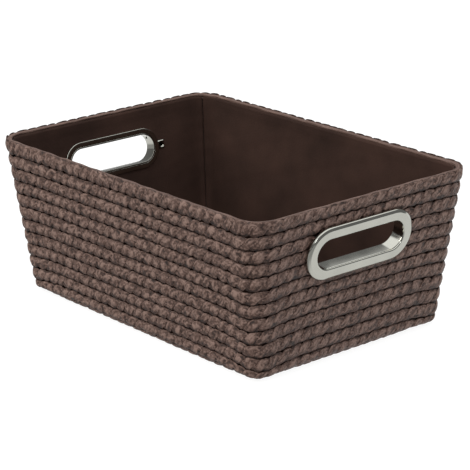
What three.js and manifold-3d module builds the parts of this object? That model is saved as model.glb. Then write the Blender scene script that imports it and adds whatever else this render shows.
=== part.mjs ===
// An open storage basket: a tapered box of plaited tape laid in rows, stiffened by a wire frame,
// lined with cloth, with a metal grip ring through each short wall.
//
// Millimetres. The origin is at the middle of the underside. +X runs along the length, +Z is up,
// the short walls with the grips are at -X (left) and +X (right), and -Y is the front.

import * as THREE from 'three';
import { mergeVertices } from 'three/addons/utils/BufferGeometryUtils.js';
import Module from 'manifold-3d';

const wasm = await Module();
wasm.setup();

// ---- Driving dimensions ----

const HEIGHT = 142;
const TOP_LENGTH = 360;
const TOP_WIDTH = 244;
const BOTTOM_LENGTH = 315;
const BOTTOM_WIDTH = 211;
const TOP_CORNER_RADIUS = 28;
const BOTTOM_CORNER_RADIUS = 14;
const CORNER_STEPS = 4; // must be even, so that a corner post faces a vertex

const GAP = 0.3; // clearance between pieces that touch
const TAPE_THICKNESS = 2.8;
const TAPE_LAP = 1.1; // how far a row's upper edge is tucked behind the row above

const ROW_COUNT = 13;
const TOP_ROW_HEIGHT = 10.4;
const ROW_HEIGHT = 11.6;
const FOOT_RADIUS = 9;
const FOOT_TURN_IN = 2.8; // how far the lowest row runs on under the base
const FOOT_ARC_STEPS = 3;

const BASE_ROW_WIDTH = 11.66;
const BASE_ROW_COUNT = 8;
const BASE_THICKNESS = 3;
const TIGHTEST_BEND = 3;

const WIRE_RADIUS = 1.2;
const WIRE_SIDES = 8;
const BOARD_THICKNESS = 2;
const BOARD_EDGE_INSET = 7.4;
const CLOTH_THICKNESS = 0.8;

const GRIP_DROP = 41; // from the rim to the grip's centre, down the slope of the wall
const RIGHT_GRIP_SHIFT = 7.5; // the right grip sits this far in front of its wall's middle
const GRIP_HALF_STRAIGHT = 34.5;
const GRIP_RADIUS = 12.8;
const GRIP_ARC_STEPS = 10;
const BARREL_WALL = 1.2;
const HOLE_CLEARANCE = 0.8;
const FLANGE_WIDTH = 10.2;
const FLANGE_HEIGHT = 3.8;
const BARREL_BACK = -9;
const BACK_RING_WIDTH = 6;
const BACK_RING_FACE = -6.9;
const BACK_RING_THICKNESS = 1.8;
const LUG_LENGTH = 6.5;
const LUG_HEIGHT = 8;
const LUG_THICKNESS = 1.2;

// ---- Depths through the wall, each measured inwards from the outer face ----

const WIRE_INSET = TAPE_THICKNESS + GAP + WIRE_RADIUS;
const LINER_INSET = WIRE_INSET + WIRE_RADIUS + GAP;
const LINER_INNER_INSET = LINER_INSET + CLOTH_THICKNESS;

// ---- Materials ----

function braidMaterial() {
  return new THREE.MeshStandardMaterial({ color: 0x5b4a43, roughness: 0.62, metalness: 0 });
}

function linerMaterial() {
  return new THREE.MeshStandardMaterial({ color: 0x3a2e2a, roughness: 0.95, metalness: 0 });
}

function boardMaterial() {
  return new THREE.MeshStandardMaterial({ color: 0x8a7560, roughness: 0.9, metalness: 0 });
}

function wireMaterial() {
  return new THREE.MeshStandardMaterial({ color: 0x6f7072, roughness: 0.45, metalness: 1 });
}

function chromeMaterial() {
  return new THREE.MeshStandardMaterial({ color: 0xd8d7d2, roughness: 0.08, metalness: 1 });
}

// ---- Outlines: closed, counter-clockwise lists of [x, y] ----

// The rounded rectangle of the wall at a height, moved inwards by an inset.
function wallOutline(inset, z) {
  const rise = z / HEIGHT;
  const halfLength = THREE.MathUtils.lerp(BOTTOM_LENGTH, TOP_LENGTH, rise) / 2 - inset;
  const halfWidth = THREE.MathUtils.lerp(BOTTOM_WIDTH, TOP_WIDTH, rise) / 2 - inset;
  const ownRadius = THREE.MathUtils.lerp(BOTTOM_CORNER_RADIUS, TOP_CORNER_RADIUS, rise) - inset;
  const radius = Math.max(ownRadius, TIGHTEST_BEND);
  const points = [];
  for (let corner = 0; corner < 4; corner++) {
    const signX = corner === 0 || corner === 3 ? 1 : -1;
    const signY = corner < 2 ? 1 : -1;
    for (let step = 0; step <= CORNER_STEPS; step++) {
      const angle = (corner + step / CORNER_STEPS) * Math.PI / 2;
      const x = signX * (halfLength - radius) + radius * Math.cos(angle);
      const y = signY * (halfWidth - radius) + radius * Math.sin(angle);
      points.push([x, y]);
    }
  }
  return points;
}

// The grip opening's outline, two straight sides and two round ends, moved inwards by an inset.
function gripOutline(inset) {
  const radius = GRIP_RADIUS - inset;
  const points = [];
  for (const end of [1, -1]) {
    const start = end === 1 ? -Math.PI / 2 : Math.PI / 2;
    for (let step = 0; step <= GRIP_ARC_STEPS; step++) {
      const angle = start + step / GRIP_ARC_STEPS * Math.PI;
      const x = end * GRIP_HALF_STRAIGHT + radius * Math.cos(angle);
      points.push([x, radius * Math.sin(angle)]);
    }
  }
  return points;
}

// ---- Shapes ----

// Carries a closed section of [inset, z] points round an outline. The section starts at the outside
// and goes up, so the faces point out. A loop joins up; otherwise first and last columns are capped.
function sweep(section, outline, isLoop) {
  const rings = section.map(([inset, z]) => outline(inset, z));
  const rows = section.length;
  const count = rings[0].length;
  const positions = [];
  const indices = [];
  for (let column = 0; column < count; column++) {
    for (let row = 0; row < rows; row++) {
      const [x, y] = rings[row][column];
      positions.push(x, y, section[row][1]);
    }
  }
  const lastColumn = isLoop ? count : count - 1;
  for (let column = 0; column < lastColumn; column++) {
    const here = column * rows;
    const there = (column + 1) % count * rows;
    for (let row = 0; row < rows; row++) {
      const above = (row + 1) % rows;
      indices.push(here + row, there + row, there + above);
      indices.push(here + row, there + above, here + above);
    }
  }
  if (!isLoop) {
    const end = (count - 1) * rows;
    for (const [a, b, c] of capTriangles(section)) {
      indices.push(a, b, c);
      indices.push(end + a, end + c, end + b);
    }
  }
  const geometry = new THREE.BufferGeometry();
  geometry.setAttribute('position', new THREE.Float32BufferAttribute(positions, 3));
  geometry.setIndex(indices);
  return geometry;
}

// Triangles over a section, wound as its points run, so they face backwards along the sweep.
function capTriangles(section) {
  const contour = section.map(([inset, z]) => new THREE.Vector2(inset, z));
  return THREE.ShapeUtils.triangulateShape(contour, []).map(([a, b, c]) => [a, c, b]);
}

// A flat plate with the given outline, from one height to another.
function plate(points, bottom, top) {
  const shape = new THREE.Shape(points.map(([x, y]) => new THREE.Vector2(x, y)));
  const geometry = new THREE.ExtrudeGeometry(shape, { depth: top - bottom, bevelEnabled: false });
  geometry.translate(0, 0, bottom);
  return geometry;
}

function wireSection(inset, z) {
  const section = [];
  for (let side = 0; side < WIRE_SIDES; side++) {
    const angle = side / WIRE_SIDES * 2 * Math.PI;
    section.push([inset - WIRE_RADIUS * Math.cos(angle), z + WIRE_RADIUS * Math.sin(angle)]);
  }
  return section;
}

// ---- Cutting ----

function toSolid(geometry, matrix = new THREE.Matrix4()) {
  const copy = geometry.clone().applyMatrix4(matrix);
  copy.deleteAttribute('normal');
  copy.deleteAttribute('uv');
  const merged = mergeVertices(copy);
  const vertProperties = new Float32Array(merged.attributes.position.array);
  const triVerts = new Uint32Array(merged.index.array);
  return new wasm.Manifold(new wasm.Mesh({ numProp: 3, vertProperties, triVerts }));
}

function toGeometry(solid) {
  const { vertProperties, triVerts } = solid.getMesh();
  const geometry = new THREE.BufferGeometry();
  geometry.setAttribute('position', new THREE.BufferAttribute(vertProperties, 3));
  geometry.setIndex(new THREE.BufferAttribute(triVerts, 1));
  return geometry;
}

// ---- Placing ----

const basket = new THREE.Group();

function addPiece(parent, name, geometry, material) {
  const piece = new THREE.Mesh(geometry, material);
  piece.name = name;
  geometry.computeVertexNormals();
  parent.add(piece);
  return piece;
}

// The frame of a grip: its z axis points out of the wall, its y axis runs up the slope.
function gripFrame(side) {
  const lean = Math.atan2((TOP_LENGTH - BOTTOM_LENGTH) / 2, HEIGHT);
  const out = new THREE.Vector3(Math.cos(lean), 0, -Math.sin(lean));
  const up = new THREE.Vector3(Math.sin(lean), 0, Math.cos(lean));
  const wall = new THREE.Group();
  const frame = new THREE.Group();
  const across = new THREE.Vector3(0, 1, 0);
  const shift = side === 'right' ? -RIGHT_GRIP_SHIFT : 0;
  frame.quaternion.setFromRotationMatrix(new THREE.Matrix4().makeBasis(across, up, out));
  frame.position.set(TOP_LENGTH / 2, shift, HEIGHT).addScaledVector(up, -GRIP_DROP);
  wall.rotation.z = side === 'right' ? 0 : Math.PI;
  wall.add(frame);
  basket.add(wall);
  wall.updateMatrixWorld(true);
  return frame;
}

const gripFrames = { left: gripFrame('left'), right: gripFrame('right') };

// The hole that a grip's barrel goes through, cut through tape and cloth.
function gripHole(side) {
  const depth = 2 * (FLANGE_HEIGHT - BARREL_BACK);
  const outline = gripOutline(-BARREL_WALL - HOLE_CLEARANCE);
  return toSolid(plate(outline, -depth / 2, depth / 2), gripFrames[side].matrixWorld);
}

const gripHoles = { left: gripHole('left'), right: gripHole('right') };

// ---- Plaited rows of the wall ----

// Height of the line between a row and the next one down; row 0 is the rim itself.
function rowLine(row) {
  if (row === 0) return HEIGHT;
  if (row === ROW_COUNT) return 0;
  return HEIGHT - TOP_ROW_HEIGHT - (row - 1) * ROW_HEIGHT;
}

// The top row is rolled in over the rim wire as far as the liner.
function rimRowSection() {
  const bottom = rowLine(1) + GAP / 2;
  const underCap = HEIGHT - TAPE_THICKNESS + GAP / 2;
  return [
    [0.2, bottom],
    [0, bottom + 2],
    [0, HEIGHT - 3.2],
    [0.7, HEIGHT - 0.9],
    [2.2, HEIGHT],
    [5, HEIGHT],
    [LINER_INNER_INSET - 0.2, HEIGHT - 0.8],
    [LINER_INNER_INSET, underCap + 0.25],
    [TAPE_THICKNESS, underCap],
    [TAPE_THICKNESS, bottom],
  ];
}

// An ordinary row: its lower edge stands proud, its upper edge is tucked in.
function wallRowSection(row) {
  const bottom = rowLine(row) + GAP / 2;
  const top = rowLine(row - 1) - GAP / 2;
  return [
    [0.2, bottom],
    [0, bottom + 2],
    [0.4, (bottom + top) / 2],
    [TAPE_LAP, top],
    [TAPE_THICKNESS, top],
    [TAPE_THICKNESS, bottom],
  ];
}

// Points round the foot's bend, from one turn to another. The wall ends at turn 0, the base at 90
// degrees, and the depth is how far the points lie inside the outer face.
function footArc(from, to, depth) {
  const radius = FOOT_RADIUS - depth;
  return Array.from({ length: FOOT_ARC_STEPS + 1 }, (_, step) => {
    const turn = THREE.MathUtils.lerp(from, to, step / FOOT_ARC_STEPS);
    return [FOOT_RADIUS - radius * Math.cos(turn), FOOT_RADIUS - radius * Math.sin(turn)];
  });
}

// The lowest row but one ends part of the way round the foot's bend.
function upperFootRowSection() {
  const top = rowLine(ROW_COUNT - 2) - GAP / 2;
  const end = footSplit() - GAP / 2 / FOOT_RADIUS;
  const outer = footArc(end, 0, 0);
  const inner = footArc(0, end, TAPE_THICKNESS);
  return [...outer, [TAPE_LAP, top], [TAPE_THICKNESS, top], ...inner];
}

// The lowest row turns under to meet the base.
function lowerFootRowSection() {
  const start = footSplit() + GAP / 2 / FOOT_RADIUS;
  const outer = footArc(Math.PI / 2, start, 0);
  const inner = footArc(start, Math.PI / 2, TAPE_THICKNESS);
  const end = FOOT_RADIUS + FOOT_TURN_IN;
  return [[end, 0], ...outer, ...inner, [end, TAPE_THICKNESS]];
}

// The turn of the foot's bend at which the two lowest rows meet.
function footSplit() {
  return Math.asin(1 - rowLine(ROW_COUNT - 1) / FOOT_RADIUS);
}

function rowSection(row) {
  if (row === 1) return rimRowSection();
  if (row === ROW_COUNT - 1) return upperFootRowSection();
  if (row === ROW_COUNT) return lowerFootRowSection();
  return wallRowSection(row);
}

// Everything on one side of the XZ plane: -1 is the front, 1 the back.
function halfSpace(side) {
  const box = new THREE.BoxGeometry(2 * TOP_LENGTH, TOP_WIDTH, 2 * HEIGHT);
  return toSolid(box, new THREE.Matrix4().makeTranslation(0, side * TOP_WIDTH / 2, HEIGHT / 2));
}

// How a row meets the grip holes: missed, notched along one edge, or cut into two halves.
function holeMeeting(row) {
  const slope = Math.hypot((TOP_LENGTH - BOTTOM_LENGTH) / 2, HEIGHT);
  const halfHole = (GRIP_RADIUS + BARREL_WALL + HOLE_CLEARANCE) * HEIGHT / slope;
  const centre = HEIGHT - GRIP_DROP * HEIGHT / slope;
  const top = rowLine(row - 1);
  const bottom = rowLine(row);
  if (top < centre - halfHole || bottom > centre + halfHole) return 'missed';
  return top < centre + halfHole && bottom > centre - halfHole ? 'halved' : 'notched';
}

function addWallRow(row) {
  const name = `braid_row_${String(row).padStart(2, '0')}`;
  const ring = sweep(rowSection(row), wallOutline, true);
  const meeting = holeMeeting(row);
  if (meeting === 'missed') {
    addPiece(basket, name, ring, braidMaterial());
    return;
  }
  const cut = toSolid(ring).subtract(gripHoles.left).subtract(gripHoles.right);
  if (meeting === 'notched') {
    addPiece(basket, name, toGeometry(cut), braidMaterial());
    return;
  }
  addPiece(basket, `${name}_front`, toGeometry(cut.intersect(halfSpace(-1))), braidMaterial());
  addPiece(basket, `${name}_back`, toGeometry(cut.intersect(halfSpace(1))), braidMaterial());
}

for (let row = 1; row <= ROW_COUNT; row++) addWallRow(row);

// ---- Plaited rows of the base, laid round and round to the middle ----

function addBaseRow(row) {
  const outer = FOOT_RADIUS + FOOT_TURN_IN + GAP + (row - 1) * BASE_ROW_WIDTH;
  const inner = outer + BASE_ROW_WIDTH - GAP;
  const flat = (inset) => wallOutline(inset, 0);
  const section = [[outer, 0], [outer, BASE_THICKNESS], [inner, BASE_THICKNESS], [inner, 0]];
  const isMiddle = row === BASE_ROW_COUNT;
  const geometry = isMiddle ? plate(flat(outer), 0, BASE_THICKNESS) : sweep(section, flat, true);
  addPiece(basket, `base_row_${String(row).padStart(2, '0')}`, geometry, braidMaterial());
}

for (let row = 1; row <= BASE_ROW_COUNT; row++) addBaseRow(row);

// ---- Wire frame between the tape and the liner ----

const FOOT_WIRE_OFFSET = (FOOT_RADIUS - TAPE_THICKNESS - GAP - WIRE_RADIUS) * Math.SQRT1_2;
const FOOT_WIRE_PLACE = FOOT_RADIUS - FOOT_WIRE_OFFSET;
const RIM_WIRE_HEIGHT = HEIGHT - TAPE_THICKNESS - 2 * GAP - WIRE_RADIUS;

function addHoopWire(name, inset, z) {
  addPiece(basket, name, sweep(wireSection(inset, z), wallOutline, true), wireMaterial());
}

addHoopWire('rim_wire', WIRE_INSET, RIM_WIRE_HEIGHT);
addHoopWire('foot_wire', FOOT_WIRE_PLACE, FOOT_WIRE_PLACE);

// A post runs up the middle of a corner, from just over the foot wire to the rim wire.
function addCornerPost(name, corner) {
  const column = corner * (CORNER_STEPS + 1) + CORNER_STEPS / 2;
  const ends = [FOOT_RADIUS, RIM_WIRE_HEIGHT - WIRE_RADIUS - 2 * GAP];
  const [low, high] = ends.map((z) => new THREE.Vector3(...wallOutline(WIRE_INSET, z)[column], z));
  const along = high.clone().sub(low);
  const rod = new THREE.CylinderGeometry(WIRE_RADIUS, WIRE_RADIUS, along.length(), WIRE_SIDES);
  const post = addPiece(basket, name, rod, wireMaterial());
  post.position.addVectors(low, high).multiplyScalar(0.5);
  post.quaternion.setFromUnitVectors(new THREE.Vector3(0, 1, 0), along.normalize());
}

['back_right', 'back_left', 'front_left', 'front_right'].forEach((place, corner) => {
  addCornerPost(`corner_post_${place}`, corner);
});

// ---- Stiff board and cloth lining ----

const BOARD_BOTTOM = BASE_THICKNESS + GAP;
const BOARD_TOP = BOARD_BOTTOM + BOARD_THICKNESS;
const FLOOR_CLOTH_BOTTOM = BOARD_TOP + GAP;
const FLOOR_CLOTH_TOP = FLOOR_CLOTH_BOTTOM + CLOTH_THICKNESS;
const LINER_BOTTOM = FLOOR_CLOTH_TOP + 3 * GAP;
const LINER_TOP = HEIGHT - TAPE_THICKNESS - GAP / 2;

const floorOutline = wallOutline(BOARD_EDGE_INSET, 0);
const floorCloth = plate(floorOutline, FLOOR_CLOTH_BOTTOM, FLOOR_CLOTH_TOP);
addPiece(basket, 'floor_board', plate(floorOutline, BOARD_BOTTOM, BOARD_TOP), boardMaterial());
addPiece(basket, 'liner_floor', floorCloth, linerMaterial());

// A wall panel of the liner runs from the seam in one corner to the seam in the next. The panel
// after corner 0 (back right) is the back one, and so on round.
const SEAM_HALF_GAP = 0.02; // part of a corner step left open at each seam

function linerPanel(corner) {
  const section = [
    [LINER_INSET, LINER_BOTTOM],
    [LINER_INSET, LINER_TOP],
    [LINER_INNER_INSET, LINER_TOP],
    [LINER_INNER_INSET, LINER_BOTTOM],
  ];
  const seamColumn = corner * (CORNER_STEPS + 1) + CORNER_STEPS / 2;
  const columns = CORNER_STEPS + 2;
  const trimmed = (inset, z) => {
    const points = wallOutline(inset, z);
    const at = (column) => points[column % points.length];
    const openedFrom = (end, next) => {
      return end.map((value, axis) => THREE.MathUtils.lerp(value, next[axis], SEAM_HALF_GAP));
    };
    const first = openedFrom(at(seamColumn), at(seamColumn + 1));
    const last = openedFrom(at(seamColumn + columns - 1), at(seamColumn + columns - 2));
    const middle = Array.from({ length: columns - 2 }, (_, step) => at(seamColumn + 1 + step));
    return [first, ...middle, last];
  };
  return sweep(section, trimmed, false);
}

addPiece(basket, 'liner_back', linerPanel(0), linerMaterial());
addPiece(basket, 'liner_front', linerPanel(2), linerMaterial());

for (const [side, corner] of [['left', 1], ['right', 3]]) {
  const panel = toSolid(linerPanel(corner)).subtract(gripHoles[side]);
  addPiece(basket, `liner_${side}`, toGeometry(panel), linerMaterial());
}

// ---- Grips ----

// Front ring: a flange with a flat face and a sloping rim, and a barrel that lines the hole. The
// section's first number is minus the distance out from the opening, its second the height.
function frontRingSection() {
  return [
    [-FLANGE_WIDTH, GAP],
    [-FLANGE_WIDTH, 1.2],
    [-7.8, FLANGE_HEIGHT - 0.3],
    [-7, FLANGE_HEIGHT],
    [-1.3, FLANGE_HEIGHT],
    [-0.4, FLANGE_HEIGHT - 0.4],
    [0, FLANGE_HEIGHT - 1.3],
    [0, BARREL_BACK],
    [-BARREL_WALL, BARREL_BACK],
    [-BARREL_WALL, GAP],
  ];
}

function backRingSection() {
  const inner = -BARREL_WALL - GAP;
  const outer = -BACK_RING_WIDTH;
  const back = BACK_RING_FACE - BACK_RING_THICKNESS;
  return [
    [outer, back + 0.8],
    [outer, BACK_RING_FACE],
    [inner, BACK_RING_FACE],
    [inner, back],
    [outer + 0.8, back],
  ];
}

// Back ring: clamps the liner, with a lug that lies on the cloth at each end.
function backRing() {
  let ring = toSolid(sweep(backRingSection(), gripOutline, true));
  for (const end of [-1, 1]) {
    const lug = new THREE.BoxGeometry(LUG_LENGTH + 1, LUG_HEIGHT, LUG_THICKNESS);
    const x = end * (GRIP_HALF_STRAIGHT + GRIP_RADIUS + BACK_RING_WIDTH + LUG_LENGTH / 2 - 0.5);
    const z = BACK_RING_FACE - LUG_THICKNESS / 2;
    ring = ring.add(toSolid(lug, new THREE.Matrix4().makeTranslation(x, 0, z)));
  }
  return toGeometry(ring);
}

for (const side of ['left', 'right']) {
  const frontRing = sweep(frontRingSection(), gripOutline, true);
  addPiece(gripFrames[side], `grip_${side}_front_ring`, frontRing, chromeMaterial());
  addPiece(gripFrames[side], `grip_${side}_back_ring`, backRing(), chromeMaterial());
}

export default basket;
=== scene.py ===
"""An open storage basket of plaited tape on a wire frame, with a cloth lining and two metal grips.

Metres, +Z up, the origin at the middle of the underside. +X runs along the length, the short walls
with the grips stand at -X (left) and +X (right), and -Y is the front.
"""

import math

import bpy
import numpy as np
from bpy.props import FloatProperty, FloatVectorProperty, IntProperty, PointerProperty
from mathutils import Matrix, Vector


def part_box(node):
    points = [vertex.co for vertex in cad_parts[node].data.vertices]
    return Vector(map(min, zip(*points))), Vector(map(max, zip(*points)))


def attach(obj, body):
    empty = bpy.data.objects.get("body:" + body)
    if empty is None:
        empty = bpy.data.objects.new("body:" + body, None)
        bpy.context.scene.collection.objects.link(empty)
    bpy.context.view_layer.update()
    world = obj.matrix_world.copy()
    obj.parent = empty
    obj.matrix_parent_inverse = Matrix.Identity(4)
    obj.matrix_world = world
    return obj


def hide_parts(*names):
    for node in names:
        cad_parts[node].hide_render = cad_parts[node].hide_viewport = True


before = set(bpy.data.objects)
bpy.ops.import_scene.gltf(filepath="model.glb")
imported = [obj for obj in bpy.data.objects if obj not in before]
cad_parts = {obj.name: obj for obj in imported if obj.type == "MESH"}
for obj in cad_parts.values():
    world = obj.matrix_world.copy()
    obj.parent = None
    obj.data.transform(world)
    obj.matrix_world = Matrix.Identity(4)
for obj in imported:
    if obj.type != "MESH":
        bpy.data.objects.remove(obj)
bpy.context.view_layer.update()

bl_info = {
    "name": "Plaited Storage Basket",
    "version": (1, 0, 0),
    "blender": (4, 5, 0),
    "location": "View3D > Sidebar > Basket",
    "description": "Builds a lined basket of plaited tape with metal grips",
    "category": "Add Mesh",
}

RIM_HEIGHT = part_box("braid_row_01")[1].z
QUARTER = math.pi / 2
MM = 0.001

# ---- Sizes and colours that a user would change ----


def metres(name, default, description):
    """A length setting."""
    return FloatProperty(name=name, description=description, default=default, unit="LENGTH")


def angle(name, degrees, description):
    """An angle setting, given in degrees."""
    turn = math.radians(degrees)
    return FloatProperty(name=name, description=description, default=turn, subtype="ANGLE")


def power(name, watts, description):
    """A lamp's power setting."""
    return FloatProperty(name=name, description=description, default=watts, unit="POWER")


def tint(name, default, description):
    """A colour setting."""
    return FloatVectorProperty(name=name, description=description, default=default, subtype="COLOR")


class BasketWallSizes(bpy.types.PropertyGroup):
    """The wall's outline, and how the rows of tape divide it."""

    rim_length: metres("Rim length", 0.360, "Along X at the rim")
    rim_width: metres("Rim width", 0.244, "Along Y at the rim")
    foot_length: metres("Foot length", 0.315, "Along X at the foot")
    foot_width: metres("Foot width", 0.211, "Along Y at the foot")
    height: metres("Height", RIM_HEIGHT, "Floor to rim")
    rim_corner: metres("Rim corner", 0.026, "Corner radius at the rim")
    foot_corner: metres("Foot corner", 0.014, "Corner radius at the foot")
    foot_bend: metres("Foot bend", 0.009, "Radius where the wall turns under")
    top_row: metres("Top row", 0.0104, "Height of the row at the rim")
    row: metres("Row", 0.0116, "Width of every other row")
    rows: IntProperty(name="Rows", description="Rows from the rim to the turned-under foot", default=13)
    base_row: metres("Base row", 0.01166, "Width of a row of the base")
    base_rows: IntProperty(name="Base rows", description="Rows from foot to base's middle", default=8)


class BasketTapeSettings(bpy.types.PropertyGroup):
    """The two-strand plait that every row is made of."""

    period: metres("Period", 0.0220, "Length in which a strand crosses and comes back")
    strand_width: metres("Strand width", 0.0074, "Width of one flat strand")
    strand_thickness: metres("Strand thickness", 0.0019, "Thickness of one strand")
    crossing: metres("Crossing", 0.0005, "How far a strand rises over the other")
    depth: metres("Depth", 0.0019, "Middle of the plait under the outer face")
    overhang: metres("Overhang", 0.0001, "How far a row's lower edge stands out")
    # dark and light are the ends of the tape's colour ramp: on the tape they carry painted shade deep
    # in the plait and a painted highlight on the crests; on the edging they only colour its streaks.
    dark: tint("Dark", (0.016, 0.008, 0.006), "Colour deep in the plait")
    middle: tint("Middle", (0.098, 0.055, 0.042), "Colour of the strands")
    light: tint("Light", (0.270, 0.178, 0.145), "Colour of the strands' crests")


class BasketLiningSettings(bpy.types.PropertyGroup):
    """The cloth lining."""

    thickness: metres("Thickness", 0.0008, "Thickness of the cloth")
    hem: metres("Hem", 0.009, "Height of the folded hem")
    cloth: tint("Cloth", (0.044, 0.023, 0.017), "Colour of the cloth")


class BasketGripSettings(bpy.types.PropertyGroup):
    """The metal grips."""

    half_straight: metres("Half straight", 0.0345, "Half of the opening's straight side")
    radius: metres("Radius", 0.0128, "Radius of the opening's round ends")
    drop: metres("Drop", 0.041, "From the rim to the grip's middle, down the wall")
    metal: tint("Metal", (0.42, 0.42, 0.378), "Colour of the plated metal")


class BasketStageSettings(bpy.types.PropertyGroup):
    """The camera and lights."""

    azimuth: angle("Azimuth", 50.43, "Camera's place round the basket")
    elevation: angle("Elevation", 18.08, "Camera's height above the horizon")
    tilt: angle("Tilt", -1.09, "Camera's roll about its own axis")
    distance: metres("Distance", 1.776, "Camera to the basket's middle")
    lens: FloatProperty(name="Lens", description="Focal length in millimetres", default=155.9)
    key: power("Key light", 26.0, "Power of the main light")
    side: power("Side light", 3.5, "Power of the small light at the right")
    sky: FloatProperty(name="Sky", description="Strength of the light from overhead", default=1.6)
    horizon: FloatProperty(name="Horizon", description="Strength of light from all round", default=0.22)


def settings(name):
    """One of the property groups above, as it stands on the scene."""
    return getattr(bpy.context.scene, "basket_" + name)


# ---- The wall's surface ----

# Going round from the middle of the right wall: the turn of the face, and which corner's centre the
# outline follows, at the ends of the nine stretches (half a wall, corner, wall, and so on).
TURNS = np.array([0, 0, 1, 1, 2, 2, 3, 3, 4, 4]) * QUARTER
CENTRE_X = np.array([1, 1, 1, -1, -1, -1, -1, 1, 1, 1])
CENTRE_Y = np.array([0, 1, 1, 1, 1, -1, -1, -1, -1, 0])
TIGHTEST_BEND = 0.003


def wall_half_sizes(inset, z):
    """Half length, half width and corner radius of the outline: straight lines from foot to rim, less
    the inset."""
    wall = settings("wall")
    rise = z / wall.height
    half_length = (wall.foot_length + (wall.rim_length - wall.foot_length) * rise) / 2 - inset
    half_width = (wall.foot_width + (wall.rim_width - wall.foot_width) * rise) / 2 - inset
    radius = wall.foot_corner + (wall.rim_corner - wall.foot_corner) * rise - inset
    return half_length, half_width, np.maximum(radius, TIGHTEST_BEND)


def outline_knots(inset, z):
    """The distance round the outline at which each stretch ends; the last is the whole way round."""
    half_length, half_width, radius = wall_half_sizes(inset, z)
    side, end, bend = 2 * (half_length - radius), half_width - radius, radius * QUARTER
    stretches = [end, bend, side, bend, 2 * end, bend, side, bend, end]
    return np.concatenate([[0], np.cumsum(stretches)])


def outline_point(along, knots, inset, z):
    """x, y and the face's turn: a corner's centre, slid along the walls, plus the radius at that
    turn."""
    half_length, half_width, radius = wall_half_sizes(inset, z)
    along = np.mod(along, knots[-1])
    turn = np.interp(along, knots, TURNS)
    x = np.interp(along, knots, CENTRE_X) * (half_length - radius) + radius * np.cos(turn)
    y = np.interp(along, knots, CENTRE_Y) * (half_width - radius) + radius * np.sin(turn)
    return x, y, turn


def wall_profile(down):
    """Inset, height and tip of the outer face at a distance down from the rim: straight to the foot, an
    arc round the foot's bend, then level along the base. The tip is 0 on the wall, 90 degrees below."""
    wall = settings("wall")
    bend = wall.foot_bend
    straight = wall.height - bend
    tip = np.clip((down - straight) / bend, 0, QUARTER)
    level = np.maximum(down - straight - bend * QUARTER, 0)
    inset = bend * (1 - np.cos(tip)) + level
    z = wall.height - np.minimum(down, straight) - bend * np.sin(tip)
    return inset, z, tip


def sag(along, knots, down):
    """How far the rows hang below level. A bell at each corner that grows down the wall and dies out
    under the base, a slow wander that is opposite on the long and the short walls, and a little all
    round."""
    height = settings("wall").height
    corners = (knots[1:8:2] + knots[2:9:2]) / 2
    round_it = knots[-1]
    away = np.abs(np.mod(along[..., None] - corners + round_it / 2, round_it) - round_it / 2).min(-1)
    bell = np.exp(-np.square(away / (28 * MM)))
    turn = np.interp(np.mod(along, round_it), knots, TURNS)
    dip = np.interp(down, [0, 0.010, height, height + 0.045], [0, 0.0012, 0.0048, 0])
    sway = -0.0013 * np.tanh((height - down - 0.032) / 0.018) * np.cos(2 * turn)
    fade = np.interp(down, [0, 0.012, height, height + 0.02], [0, 1, 1, 0])
    return dip * bell + (sway + 0.0013) * fade


def on_wall(along, down, depth, knots):
    """The points at a distance round and down the wall, a depth inside its face, as x, y, z."""
    inset, z, tip = wall_profile(down + sag(along, knots, down))
    inset = inset + depth * np.cos(tip)
    z = z + depth * np.sin(tip)
    x, y, _ = outline_point(along, knots, inset, z)
    return np.stack([x, y, z], axis=-1)


def wander(share, seed, reach, low, high):
    """Twelve whole-number waves round the basket with seeded sizes and phases, so that they join up."""
    draw = np.random.default_rng(seed)
    counts = draw.integers(low, high, 12)
    phases = draw.uniform(0, 2 * math.pi, 12)
    sizes = draw.uniform(0.4, 1.0, 12)
    waves = np.sin(2 * math.pi * share[..., None] * counts + phases) * sizes
    return reach * waves.sum(-1) / math.sqrt(12)


# ---- Putting arrays into meshes ----


def grid_quads(sheets, rows, columns, rows_join, columns_join):
    """Quads over several grids of points, numbered row by row, and each corner's row and column before
    it wraps round. A grid that joins up shares its first row or column with its last."""
    last_row = rows if rows_join else rows - 1
    last_column = columns if columns_join else columns - 1
    row, column = np.meshgrid(np.arange(last_row), np.arange(last_column), indexing="ij")
    corner_rows = np.stack([row, row + 1, row + 1, row], -1).reshape(-1, 4)
    corner_columns = np.stack([column, column, column + 1, column + 1], -1).reshape(-1, 4)
    one = corner_rows % rows * columns + corner_columns % columns
    quads = (one[None] + np.arange(sheets)[:, None, None] * rows * columns).reshape(-1, 4)
    return quads, np.tile(corner_rows, (sheets, 1)), np.tile(corner_columns, (sheets, 1))


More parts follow.
